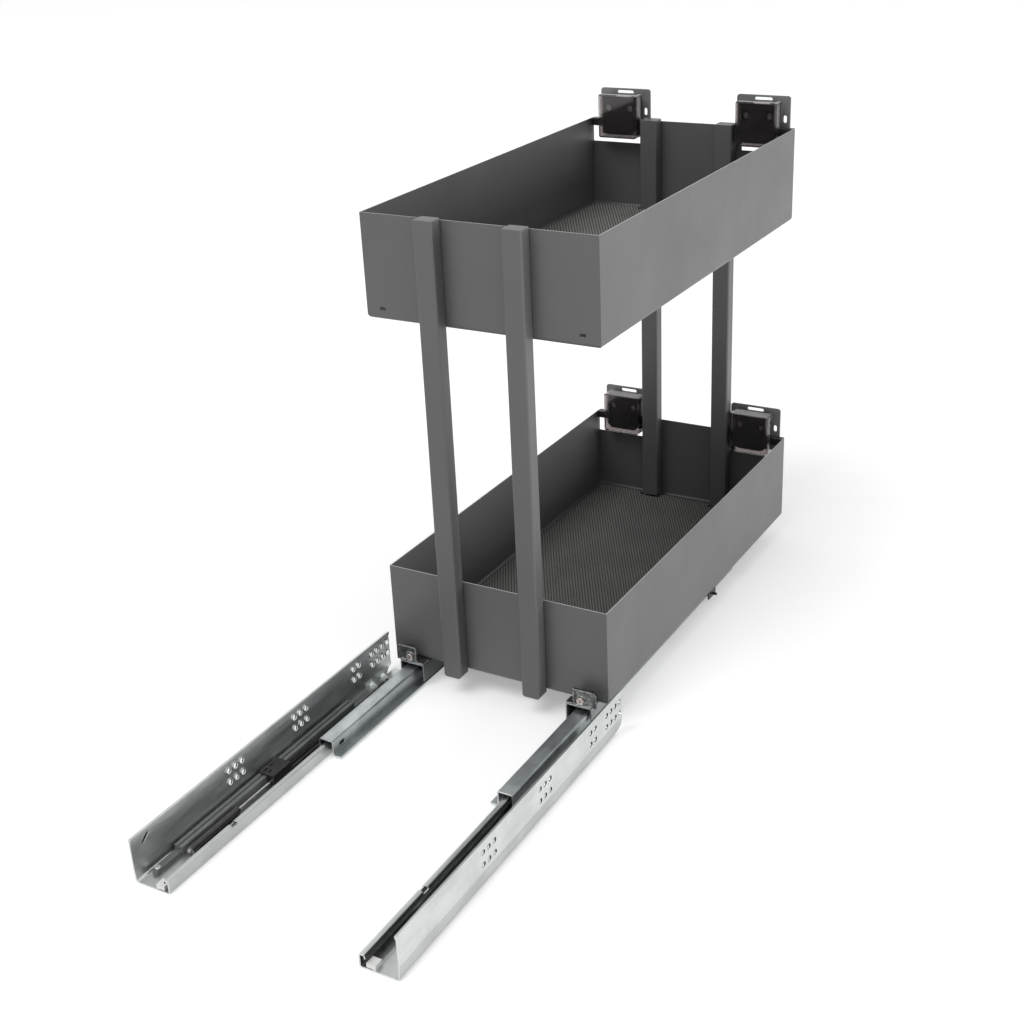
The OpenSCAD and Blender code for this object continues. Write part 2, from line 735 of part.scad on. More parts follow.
// Middle rail: a downward channel over the bead, its inner leg turned to a foot
module middle_rail() color("#7d8382") difference() {
    along_y(mid_y0, mid_y1) translate([face_x, 0]) mirror([1, 0]) {
        h = slide_sheet / 2;
        folded([[mid_u0 + h, mid_top - mid_out_leg], [mid_u0 + h, mid_top - h], [mid_u1 - h, mid_top - h],
            [mid_u1 - h, mid_top - mid_in_leg + h], [foot_u, mid_top - mid_in_leg + h]], slide_sheet);
    }
    translate([face_x - mid_u1 - over, mid_y0 + oval_back, oval_z]) along_x(0, slide_sheet + 2 * over)
        long_slot(oval_l, oval_w);
}
module middle_rail_left() left() middle_rail();
module middle_rail_right() middle_rail();

// Drawer rail: the outer channel that carries the tray
module drawer_rail() color("#6f7574") along_y(drawer_y0, drawer_y1) translate([face_x, 0]) mirror([1, 0]) {
    h = slide_sheet / 2;
    folded([[drawer_u0 + h, tray_z - drawer_out_leg], [drawer_u0 + h, tray_z - h],
        [drawer_u1 - h, tray_z - h], [drawer_u1 - h, tray_z - drawer_in_leg]], slide_sheet);
}
module drawer_rail_left() left() drawer_rail();
module drawer_rail_right() drawer_rail();

// Roller cages: an angle with a window for each roller
function low_roller_d() = low_gap - 2 * roller_clear;
function low_guide_d() = mid_in_gap - 2 * roller_clear;
function high_roller_d() = high_gap - 2 * roller_clear;
function high_guide_d() = drawer_in_gap - 2 * roller_clear;
function station(y0, i) = y0 + cage_len * (i + 1 / 2) / roller_n;
guide_shift = 8;

// Place of the lying and the standing rollers of each cage
low_u = (bead_u + rail_w) / 2;
low_z = bead_h + low_gap / 2;
low_guide_u = rail_w + mid_in_gap / 2;
low_guide_z0 = low_z - low_gap / 2 - guide_l - cage_t;
high_u = (mid_u0 + mid_u1) / 2;
high_z = mid_top + high_gap / 2;
high_guide_u = mid_u1 + drawer_in_gap / 2;
high_guide_z0 = mid_top - guide_l - cage_t;

module lying_roller(u, z, d) translate([face_x - u - roller_l / 2, 0, z]) rotate([0, 90, 0])
    cylinder(d = d, h = roller_l, $fn = 24);
module standing_roller(u, z0, d) translate([face_x - u, 0, z0]) cylinder(d = d, h = guide_l, $fn = 24);

module cage(y0, u_mid, u_guide, z_mid, guide_z0, d_lying, d_standing) difference() {
    union() {
        block(u_mid - roller_l / 2 - cage_t, u_guide + cage_t / 2, y0, y0 + cage_len,
            z_mid - cage_t / 2, z_mid + cage_t / 2);
        block(u_guide - cage_t / 2, u_guide + cage_t / 2, y0, y0 + cage_len, guide_z0 - cage_t,
            z_mid + cage_t / 2);
    }
    for (i = [0 : roller_n - 1]) {
        y = station(y0, i);
        block(u_mid - roller_l / 2 - window_clear, u_mid + roller_l / 2 + window_clear,
            y - d_lying / 2 - window_clear, y + d_lying / 2 + window_clear, z_mid - cage_t, z_mid + cage_t);
        block(u_guide - cage_t, u_guide + cage_t, y + guide_shift - d_standing / 2 - window_clear,
            y + guide_shift + d_standing / 2 + window_clear, guide_z0 - window_clear,
                guide_z0 + guide_l + window_clear);
    }
}
module lower_cage() color("#2f3030")
    cage(low_cage_y0, low_u, low_guide_u, low_z, low_guide_z0, low_roller_d(), low_guide_d());
module upper_cage() color("#2f3030")
    cage(high_cage_y0, high_u, high_guide_u, high_z, high_guide_z0, high_roller_d(), high_guide_d());
module lower_cage_left() left() lower_cage();
module lower_cage_right() lower_cage();
module upper_cage_left() left() upper_cage();
module upper_cage_right() upper_cage();

module rollers(y0, u_mid, u_guide, z_mid, guide_z0, d_lying, d_standing)
    for (i = [0 : roller_n - 1]) {
        translate([0, station(y0, i), 0]) lying_roller(u_mid, z_mid, d_lying);
        translate([0, station(y0, i) + guide_shift, 0]) standing_roller(u_guide, guide_z0, d_standing);
    }
module lower_rollers() color("#d8d8d2")
    rollers(low_cage_y0, low_u, low_guide_u, low_z, low_guide_z0, low_roller_d(), low_guide_d());
module upper_rollers() color("#d8d8d2")
    rollers(high_cage_y0, high_u, high_guide_u, high_z, high_guide_z0, high_roller_d(), high_guide_d());
module lower_rollers_left() left() lower_rollers();
module lower_rollers_right() lower_rollers();
module upper_rollers_left() left() upper_rollers();
module upper_rollers_right() upper_rollers();

// Rear hook: base on the drawer rail, upright tab with a rim and a washer, tongue through the wall
tab_y0 = drawer_y0 + hook_dish;
tab_y1 = tab_y0 + hook_t;
tab_u0 = drawer_u0 - hook_out;
tab_u1 = tab_u0 + hook_wide;

module rear_hook() color("#a9adac") {
    slot_u = face_x - tongue_slot_x;
    slot_z = tray_z + tongue_slot_z;
    tab_z1 = tray_z + hook_high;
    rim_y1 = tab_y0 + hook_t / 2;
    difference() {
        union() {
            block(drawer_u0, drawer_u1, drawer_y0, basket_y0 - hook_base_in, tray_z, tray_z + hook_t);
            block(tab_u0, tab_u1, tab_y0, tab_y1, tray_z, tab_z1);
            block(tab_u0, tab_u1, drawer_y0, rim_y1, tab_z1 - hook_rim, tab_z1);
            block(tab_u1 - hook_rim, tab_u1, drawer_y0, rim_y1, tray_z, tab_z1);
            along_screw(hook_screw_x, tab_y0 - washer_t, rim_y1, tray_z + hook_screw_z, washer_d / 2);
            block(slot_u - tongue_slot_w / 2 + tongue_clear, slot_u + tongue_slot_w / 2 - tongue_clear,
                tab_y1 - hook_t / 2, basket_y0 + tray_sheet + tongue_past,
                slot_z - tongue_slot_h / 2 + tongue_clear, slot_z + tongue_slot_h / 2 - tongue_clear);
            block(slot_u - tongue_slot_w / 2 + tongue_clear, slot_u + tongue_slot_w / 2 - tongue_clear,
                basket_y0 + tray_sheet + tongue_clear, basket_y0 + tray_sheet + tongue_past,
                slot_z - tongue_slot_h / 2 + tongue_clear, slot_z + tongue_slot_h / 2 + tongue_up);
        }
        along_screw(hook_screw_x, tab_y0 - washer_t - over, tab_y1 + over, tray_z + hook_screw_z,
            hook_screw_d / 2 + screw_fit);
        along_y(drawer_y0 - over, tab_y1 + over) translate([face_x - tab_u0, tab_z1])
            rotate(45) square(hook_corner * sqrt(2), center = true);
    }
}
module rear_hook_left() left() rear_hook();
module rear_hook_right() rear_hook();

module hook_screws() color("#c9c5bf") both()
    translate([hook_screw_x, tab_y0 - washer_t, tray_z + hook_screw_z])
        pan_screw(hook_screw_d, hook_head_d, hook_head_h, basket_y0 - tab_y0 + washer_t - shank_past,
            socket_d, socket_deep);

// Trigger: a plate on the drawer rail's outer leg with a pin over the catch
pin_z = rail_sheet + strip_lift + hook_block_h + pin_clear + pin_d / 2;
module trigger() color("#3a3c3c") {
    u0 = drawer_u0 - trigger_t;
    y = basket_y0 + trigger_y;
    block(u0, drawer_u0, y - trigger_l / 2, y + trigger_l / 2, trigger_low, tray_z - trigger_top);
    translate([face_x - u0, y, pin_z]) rotate([0, 90, 0]) cylinder(d = pin_d, h = pin_past, $fn = 32);
}
module trigger_left() left() trigger();
module trigger_right() trigger();

// Soft-close housing: a long closed bar with a groove and a tail screwed to the rail's floor
housing_y1 = basket_y0 - housing_front;
housing_y0 = housing_y1 - housing_l;
housing_u0 = rail_sheet + housing_off;
housing_u1 = housing_u0 + housing_w;
tail_y = housing_y0 - tail_l + tail_hole_back;
tail_u = housing_u0 + housing_w / 2;
tail_r = housing_w / 2 - tail_in;
bend_cut = rail_bevel + crease_in + rail_sheet / 2 * (1 + sqrt(2)) + bend_past - housing_u0 - rail_sheet;

module soft_close_housing() color("#83888a") difference() {
    union() {
        block(housing_u0, housing_u1, housing_y0, housing_y1, rail_sheet, rail_sheet + housing_h);
        block(housing_u0 + tail_in, housing_u1 - tail_in, housing_y0 - tail_l + tail_r, housing_y0,
            rail_sheet, rail_sheet + tail_h);
        translate([face_x - tail_u, housing_y0 - tail_l + tail_r, rail_sheet]) cylinder(r = tail_r,
            h = tail_h);
    }
    block(tail_u - groove_w / 2, tail_u + groove_w / 2, housing_y0 - over, housing_y1 + over,
        rail_sheet + housing_h - groove_deep, rail_sheet + housing_h + over);
    translate([face_x - tail_u, tail_y, 0]) cylinder(d = tail_hole, h = rail_sheet + tail_h + over);
    along_y(housing_y0 - tail_l - over, housing_y1 + over) translate([face_x - housing_u0, rail_sheet])
        rotate(45) square(bend_cut * sqrt(2), center = true);
}
module soft_close_housing_left() left() soft_close_housing();
module soft_close_housing_right() soft_close_housing();

module housing_screws() color("#b0b4b4") both()
    translate([face_x - tail_u, tail_y, rail_sheet + tail_h]) rotate([-90, 0, 0])
        pan_screw(tail_hole - 2 * screw_fit, tail_head_d, tail_head_h, tail_h + rail_sheet,
            tail_socket, tail_socket);

// Soft-close catch: a saddle over the housing, two strips and the hook block at their front end
damper_y0 = housing_y0 + damper_in;
damper_y1 = damper_y0 + damper_l;
saddle_y1 = damper_y1 + pull_in + rod_clear + saddle_l;
catch_slot_y = basket_y0 - catch_back;
strip_u0 = housing_u1 + saddle_clear + saddle_foot - strip_w;
strip_u1 = strip_u0 + strip_w + strip_gap;
saddle_u1 = strip_u1 + strip_w;

module soft_close_catch() color("#1d1e1e") {
    z0 = rail_sheet + strip_lift;
    saddle_z = rail_sheet + housing_h + saddle_clear;
    saddle_y0 = saddle_y1 - saddle_l;
    difference() {
        union() {
            block(housing_u0 + saddle_round, saddle_u1, saddle_y0, saddle_y1, saddle_z, saddle_z + saddle_t);
            block(housing_u0, saddle_u1, saddle_y0 + saddle_round, saddle_y1, saddle_z,
                saddle_z + saddle_t);
            translate([face_x - housing_u0 - saddle_round, saddle_y0 + saddle_round, saddle_z])
                cylinder(r = saddle_round, h = saddle_t);
            block(strip_u0, saddle_u1, saddle_y0, saddle_y1, z0, saddle_z + saddle_t / 2);
        }
        for (p = saddle_slots)
            translate([face_x - housing_u0 - p[0], saddle_y0 + p[1], saddle_z - over])
                linear_extrude(saddle_t + 2 * over) square([saddle_slot_w, saddle_slot_l], center = true);
        along_rod(saddle_y0 - over, saddle_y0 + rod_in, rod_d / 2 + rod_fit);
    }
    for (u = [strip_u0, strip_u1])
        block(u, u + strip_w, saddle_y1, catch_slot_y, z0, z0 + strip_h);
    difference() {
        block(strip_u0, saddle_u1, catch_slot_y - hook_block_l + catch_slot_l, catch_slot_y + catch_slot_l,
            z0, z0 + hook_block_h);
        block(strip_u0 - over, saddle_u1 + over, catch_slot_y - catch_slot_l / 2,
            catch_slot_y + catch_slot_l / 2,
            z0 + hook_block_h - catch_slot_deep, z0 + hook_block_h + over);
    }
}
module soft_close_catch_left() left() soft_close_catch();
module soft_close_catch_right() soft_close_catch();

// Damper: a cylinder in a clamp on the rail's floor, its rod held in the saddle
damper_u = (strip_u0 + saddle_u1) / 2;
damper_z = rail_sheet + damper_d / 2 + strip_lift;

module along_rod(y0, y1, r) translate([face_x - damper_u, y1, damper_z]) rotate([90, 0, 0])
    cylinder(r = r, h = y1 - y0);

module damper() color("#9a9ea0") difference() {
    union() {
        along_rod(damper_y0, damper_y1, damper_d / 2);
        along_rod(damper_y0 - tip_l, damper_y0 + damper_end / 2, tip_d / 2);
        block(strip_u0 - clamp_wall, damper_u + damper_d / 2 + clamp_wall, damper_y0, damper_y0 + clamp_l,
            rail_sheet, damper_z);
    }
    along_rod(damper_y0 + damper_end, damper_y1 + over, rod_d / 2 + rod_fit);
}
module damper_left() left() damper();
module damper_right() damper();

module damper_rod() color("#d0d3d4") along_rod(damper_y1 - rod_in, saddle_y1 - saddle_l + rod_in,
    rod_d / 2);
module damper_rod_left() left() damper_rod();
module damper_rod_right() damper_rod();

// Front catch: a flat housing under the tray with an open side for its lever
catch_y0 = drawer_y1 + window_clear;
catch_z0 = tray_z - catch_h;
lever_z0 = catch_z0 + catch_wall + lever_clear;

module front_catch() color("#4b4e4f") difference() {
    block(catch_u0, catch_u1, catch_y0, catch_y0 + catch_l, catch_z0, tray_z);
    block(catch_u0 - over, catch_u1 - catch_wall, catch_y0 + catch_wall, catch_y0 + catch_l - catch_wall,
        catch_z0 + catch_wall, lever_z0 + lever_t + lever_clear);
    translate([face_x - lever_pivot_u, catch_y0 + lever_pivot_y, catch_z0 - over])
        cylinder(d = lever_pivot_d + 2 * lever_pivot_fit, h = catch_h);
}
module front_catch_left() left() front_catch();
module front_catch_right() front_catch();

module catch_lever() color("#c4c6c4") translate([face_x - lever_pivot_u, catch_y0 + lever_pivot_y, 0]) {
    translate([0, 0, catch_z0]) cylinder(d = lever_pivot_d, h = catch_h - over);
    translate([-lever_w / 2, 0, lever_z0]) cube([lever_w, lever_arm, lever_t]);
    translate([-lever_w / 2, lever_arm - lever_w, lever_z0])
        cube([lever_pivot_u - catch_u0 + lever_tip, lever_w, lever_t]);
    translate([0, 0, lever_z0]) cylinder(d = lever_w, h = lever_t);
}
module catch_lever_left() left() catch_lever();
module catch_lever_right() catch_lever();

lower_tray();
upper_tray();
lower_mat();
upper_mat();
rear_post_left();
rear_post_right();
front_post_left();
front_post_right();
post_screws();
door_plate_lower_left();
door_plate_lower_right();
door_plate_upper_left();
door_plate_upper_right();
adjuster_lower_left();
adjuster_lower_right();
adjuster_upper_left();
adjuster_upper_right();
cover_lower_left();
cover_lower_right();
cover_upper_left();
cover_upper_right();
adjusting_screws();
plate_screws();
drawer_rail_left();
drawer_rail_right();
rear_hook_left();
rear_hook_right();
hook_screws();
trigger_left();
trigger_right();
front_catch_left();
front_catch_right();
catch_lever_left();
catch_lever_right();
cabinet_rail_left();
cabinet_rail_right();
middle_rail_left();
middle_rail_right();
lower_cage_left();
lower_cage_right();
upper_cage_left();
upper_cage_right();
lower_rollers_left();
lower_rollers_right();
upper_rollers_left();
upper_rollers_right();
rail_stop_left();
rail_stop_right();
soft_close_housing_left();
soft_close_housing_right();
soft_close_catch_left();
soft_close_catch_right();
damper_left();
damper_right();
damper_rod_left();
damper_rod_right();
housing_screws();
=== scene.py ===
"""Finishes, anti-slip mats and studio for a two-tier pull-out cabinet basket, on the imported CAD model."""

import bpy
import numpy as np
from mathutils import Matrix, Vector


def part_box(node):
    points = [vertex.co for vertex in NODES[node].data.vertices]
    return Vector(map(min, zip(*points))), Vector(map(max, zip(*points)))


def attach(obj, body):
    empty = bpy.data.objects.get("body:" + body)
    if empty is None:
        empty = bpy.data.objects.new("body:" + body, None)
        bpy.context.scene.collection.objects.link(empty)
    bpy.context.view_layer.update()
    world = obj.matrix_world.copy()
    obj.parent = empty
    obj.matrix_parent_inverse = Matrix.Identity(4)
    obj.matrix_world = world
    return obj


bl_info = {
    "name": "Pull-out basket finishes",
    "version": (1, 0, 0),
    "blender": (4, 5, 0),
    "location": "3D View > Sidebar > Basket",
    "description": "Finishes, anti-slip mats and studio for a pull-out cabinet basket",
    "category": "Material",
}

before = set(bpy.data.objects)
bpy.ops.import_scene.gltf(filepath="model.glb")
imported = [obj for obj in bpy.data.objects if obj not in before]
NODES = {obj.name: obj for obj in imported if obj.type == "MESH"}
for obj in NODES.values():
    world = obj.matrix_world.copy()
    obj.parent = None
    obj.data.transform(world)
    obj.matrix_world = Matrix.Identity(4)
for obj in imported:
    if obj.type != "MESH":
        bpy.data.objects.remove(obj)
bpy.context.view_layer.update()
SIDES = ("left", "right")
TIERS = ("lower", "upper")


# Settings


def colour(name, description, value):
    """A colour setting."""
    return bpy.props.FloatVectorProperty(
        name=name, description=description, default=value, subtype="COLOR", size=3, min=0.0, max=1.0
    )


def share(name, description, value):
    """A setting between 0 and 1."""
    return bpy.props.FloatProperty(name=name, description=description, default=value, min=0.0, max=1.0)


def length(name, description, value):
    """A length setting, in metres."""
    return bpy.props.FloatProperty(
        name=name, description=description, default=value, min=0.0, unit="LENGTH", precision=5
    )


def power(name, description, value):
    """A lamp's power, in watts."""
    return bpy.props.FloatProperty(name=name, description=description, default=value, min=0.0, unit="POWER")


class BasketColours(bpy.types.PropertyGroup):
    """Colours of the basket's finishes."""

    coat: colour("Powder coat", "Trays and posts", (0.106, 0.108, 0.105))
    plate: colour("Plate coat", "Door plates of the brackets", (0.19, 0.193, 0.19))
    zinc: colour("Zinc", "Cabinet rails", (0.6, 0.62, 0.615))
    slide: colour("Slide zinc", "Middle and drawer rails", (0.62, 0.66, 0.67))
    screw: colour("Screws", "Screw heads and damper", (0.62, 0.62, 0.61))
    mat: colour("Mat", "Anti-slip mats", (0.19, 0.19, 0.182))
    black: colour("Black plastic", "Adjusters, cages and catches", (0.015, 0.014, 0.014))
    smoke: colour("Smoked cover", "Clear tinted covers of the adjusters", (0.52, 0.48, 0.48))
    grey: colour("Grey plastic", "Soft-close housings and levers", (0.16, 0.165, 0.165))
    pale: colour("Pale plastic", "Rollers and rail stops", (0.86, 0.86, 0.85))


class BasketTexture(bpy.types.PropertyGroup):
    """Sizes and strengths of the surface detail."""

    coat_rough: share("Coat roughness", "Roughness of the powder coat", 0.42)
    zinc_rough: share("Zinc roughness", "Roughness of the zinc", 0.34)
    edge: length("Edge radius", "Radius at which sheet edges catch the light", 0.0005)
    pip_pitch: length("Pip pitch", "Distance between neighbouring pips of the mats", 0.0035)
    pip_radius: length("Pip radius", "Radius of a pip at its foot", 0.00125)
    pip_height: length("Pip height", "Height of a pip over the mat", 0.0006)


class BasketStudio(bpy.types.PropertyGroup):
    """Light and backdrop."""

    sky: share("Sky", "Strength of the even light from all round", 0.57)
    key: power("Key", "Power of the main light", 900.0)
    side: power("Side", "Power of the side light", 185.0)
    floor: share("Floor", "Paleness of the floor", 0.88)
    floor_lift: share("Floor lift", "Light that the camera sees on the floor besides the lamps", 0.32)


# Node helpers


def add(tree, kind, settings=None, **sockets):
    """Adds a node, sets its attributes, and fills or links its sockets by name, an underscore for a space."""
    node = tree.nodes.new(kind)
    for key, value in (settings or {}).items():
        setattr(node, key, value)
    for key, value in sockets.items():
        feed(tree, node.inputs[key.replace("_", " ")], value)
    return node


def feed(tree, socket, value):
    """Links a socket to another one, or sets its value."""
    if isinstance(value, bpy.types.NodeSocket):
        tree.links.new(value, socket)
    elif socket.type == "RGBA" and len(value) == 3:
        socket.default_value = (*value, 1.0)
    else:
        socket.default_value = value


def mixed(tree, factor, first, second, blend="MIX"):
    """Two colours blended, unless told otherwise to one between them."""
    node = tree.nodes.new("ShaderNodeMix")
    node.data_type = "RGBA"
    node.blend_type = blend
    for socket, value in zip((node.inputs[0], node.inputs[6], node.inputs[7]), (factor, first, second)):
        feed(tree, socket, value)
    return node.outputs[2]


def new_group(name, inputs, outputs):
    """An empty node group with named sockets: the tree, its inputs and its output node's inputs."""
    tree = bpy.data.node_groups.new(name, "ShaderNodeTree")
    for label, kind, value in inputs:
        socket = tree.interface.new_socket(label, in_out="INPUT", socket_type=kind)
        if value is not None:
            socket.default_value = value
    for label, kind in outputs:
        tree.interface.new_socket(label, in_out="OUTPUT", socket_type=kind)
    return tree, tree.nodes.new("NodeGroupInput").outputs, tree.nodes.new("NodeGroupOutput").inputs


def tone_group():
    """Two colours mixed by stretched noise, and the mask that mixes them."""
    tree, given, out = new_group(
        "Tone",
        [
            ("Vector", "NodeSocketVector", None),
            ("Stretch", "NodeSocketVector", (1.0, 1.0, 1.0)),
            ("Scale", "NodeSocketFloat", 20.0),
            ("Contrast", "NodeSocketFloat", 0.2),
            ("Low", "NodeSocketColor", (0.1, 0.1, 0.1, 1.0)),
            ("High", "NodeSocketColor", (0.2, 0.2, 0.2, 1.0)),
        ],
        [("Colour", "NodeSocketColor"), ("Mask", "NodeSocketFloat")],
    )
    place = add(tree, "ShaderNodeVectorMath", {"operation": "MULTIPLY"})
    feed(tree, place.inputs[0], given["Vector"])
    feed(tree, place.inputs[1], given["Stretch"])
    noise = add(
        tree, "ShaderNodeTexNoise", Vector=place.outputs[0], Scale=given["Scale"], Detail=5.0, Roughness=0.6
    )
    low = add(tree, "ShaderNodeMath", {"operation": "SUBTRACT"})
    high = add(tree, "ShaderNodeMath", {"operation": "ADD"})
    for node in (low, high):
        feed(tree, node.inputs[0], 0.5)
        feed(tree, node.inputs[1], given["Contrast"])
    mask = add(
        tree, "ShaderNodeMapRange", Value=noise.outputs[0], From_Min=low.outputs[0], From_Max=high.outputs[0]
    )
    feed(tree, out["Mask"], mask.outputs[0])
    feed(tree, out["Colour"], mixed(tree, mask.outputs[0], given["Low"], given["High"]))
    return tree


def edge_group():
    """Rounded normal near sharp edges, and a mask of the edges from its angle to the true normal."""
    tree, given, out = new_group(
        "Edges",
        [("Radius", "NodeSocketFloat", 0.0005), ("Gain", "NodeSocketFloat", 4.0)],
        [("Normal", "NodeSocketVector"), ("Mask", "NodeSocketFloat")],
    )
    bevel = add(tree, "ShaderNodeBevel", {"samples": 4}, Radius=given["Radius"])
    flat = add(tree, "ShaderNodeNewGeometry")
    same = add(tree, "ShaderNodeVectorMath", {"operation": "DOT_PRODUCT"})
    feed(tree, same.inputs[0], bevel.outputs[0])
    feed(tree, same.inputs[1], flat.outputs["Normal"])
    turn = add(tree, "ShaderNodeMath", {"operation": "SUBTRACT"})
    feed(tree, turn.inputs[0], 1.0)
    feed(tree, turn.inputs[1], same.outputs["Value"])
    mask = add(tree, "ShaderNodeMath", {"operation": "MULTIPLY", "use_clamp": True})
    feed(tree, mask.inputs[0], turn.outputs[0])
    feed(tree, mask.inputs[1], given["Gain"])
    feed(tree, out["Normal"], bevel.outputs[0])
    feed(tree, out["Mask"], mask.outputs[0])
    return tree


def grain_group():
    """Fine height field: stretched noise at one scale over a softer one at a quarter of it."""
    tree, given, out = new_group(
        "Grain",
        [
            ("Vector", "NodeSocketVector", None),
            ("Stretch", "NodeSocketVector", (1.0, 1.0, 1.0)),
            ("Scale", "NodeSocketFloat", 900.0),
        ],
        [("Height", "NodeSocketFloat")],
    )
    place = add(tree, "ShaderNodeVectorMath", {"operation": "MULTIPLY"})
    feed(tree, place.inputs[0], given["Vector"])
    feed(tree, place.inputs[1], given["Stretch"])
    fine = add(tree, "ShaderNodeTexNoise", Vector=place.outputs[0], Scale=given["Scale"], Detail=2.0)
    quarter = add(tree, "ShaderNodeMath", {"operation": "MULTIPLY"})
    feed(tree, quarter.inputs[0], given["Scale"])
    feed(tree, quarter.inputs[1], 0.25)
    soft = add(tree, "ShaderNodeTexNoise", Vector=place.outputs[0], Scale=quarter.outputs[0], Detail=1.0)
    both = add(tree, "ShaderNodeMath", {"operation": "ADD"})
    feed(tree, both.inputs[0], fine.outputs[0])
    feed(tree, both.inputs[1], soft.outputs[0])
    feed(tree, out["Height"], both.outputs[0])
    return tree


def group_node(tree, name, maker, **sockets):
    """One of the shared groups in a material, made the first time it is asked for."""
    node = tree.nodes.new("ShaderNodeGroup")
    node.node_tree = bpy.data.node_groups.get(name) or maker()
    for key, value in sockets.items():
        feed(tree, node.inputs[key], value)
    return node


def shade(value, low, high):
    """Two tones of a colour, darker and lighter by the given factors."""
    return toned(value, low), tuple(min(1.0, c * high) for c in value)


def toned(value, times):
    """A colour with its three parts multiplied by one factor."""
    return tuple(c * times for c in value)


def step_mask(tree, value, low, high):
    """0 below one value, 1 above another."""
    return add(tree, "ShaderNodeMapRange", Value=value, From_Min=low, From_Max=high).outputs[0]


def product(tree, *values):
    """The product of several values."""
    result = values[0]
    for value in values[1:]:
        both = add(tree, "ShaderNodeMath", {"operation": "MULTIPLY"})
        feed(tree, both.inputs[0], result)
        feed(tree, both.inputs[1], value)
        result = both.outputs[0]
    return result


# The sides of a patch's box that don't bound it lie this far out, past every piece
FAR = 1.0
ALL_LOW, ALL_HIGH = (0.0, -FAR, -FAR), (FAR, FAR, FAR)
INWARDS, OUTWARDS = (-1.0, 0.0, 0.0), (1.0, 0.0, 0.0)
BACKWARDS, UPWARDS = (0.0, -1.0, 0.0), (0.0, 0.0, 1.0)

# A patch fades over this distance to either side of its border, and between these cosines of a face's turn
FADE = 0.0002
TURNED_FROM, TURNED_TO = 0.3, 0.6

# Half widths of the band of noise over which a surface's tones, smudges and roughness change
TONE_CONTRAST, SMUDGE_CONTRAST, SWING_CONTRAST = 0.16, 0.08, 0.2

# The noise in the roughness is this much finer than the one in the tones
SWING_FINER = 3.1

# Radius at which the edges of small parts catch the light
SMALL_EDGE = 0.0003


def patch_strength(tree, where, low, high, facing, times):
    """A factor on a patch, 1 elsewhere. The patch is the faces turned one way (all if that is None) within
    a box, both given for the right-hand side and mirrored for the left one."""
    place = add(tree, "ShaderNodeSeparateXYZ", Vector=where).outputs
    side = add(tree, "ShaderNodeMath", {"operation": "SIGN"})
    feed(tree, side.inputs[0], place["X"])
    masks = []
    across = product(tree, place["X"], side.outputs[0])
    for value, least, most in zip((across, place["Y"], place["Z"]), low, high):
        masks.append(step_mask(tree, value, least - FADE, least + FADE))
        masks.append(step_mask(tree, value, most + FADE, most - FADE))
    if facing:
        turned = add(tree, "ShaderNodeVectorMath", {"operation": "MULTIPLY"})
        feed(tree, turned.inputs[0], add(tree, "ShaderNodeNewGeometry").outputs["Normal"])
        mirror = add(tree, "ShaderNodeCombineXYZ", X=side.outputs[0], Y=1.0, Z=1.0)
        feed(tree, turned.inputs[1], mirror.outputs[0])
        along = add(tree, "ShaderNodeVectorMath", {"operation": "DOT_PRODUCT"})
        feed(tree, along.inputs[0], turned.outputs[0])
        feed(tree, along.inputs[1], facing)
        masks.append(step_mask(tree, along.outputs["Value"], TURNED_FROM, TURNED_TO))
    return add(tree, "ShaderNodeMapRange", Value=product(tree, *masks), To_Min=1.0, To_Max=times).outputs[0]


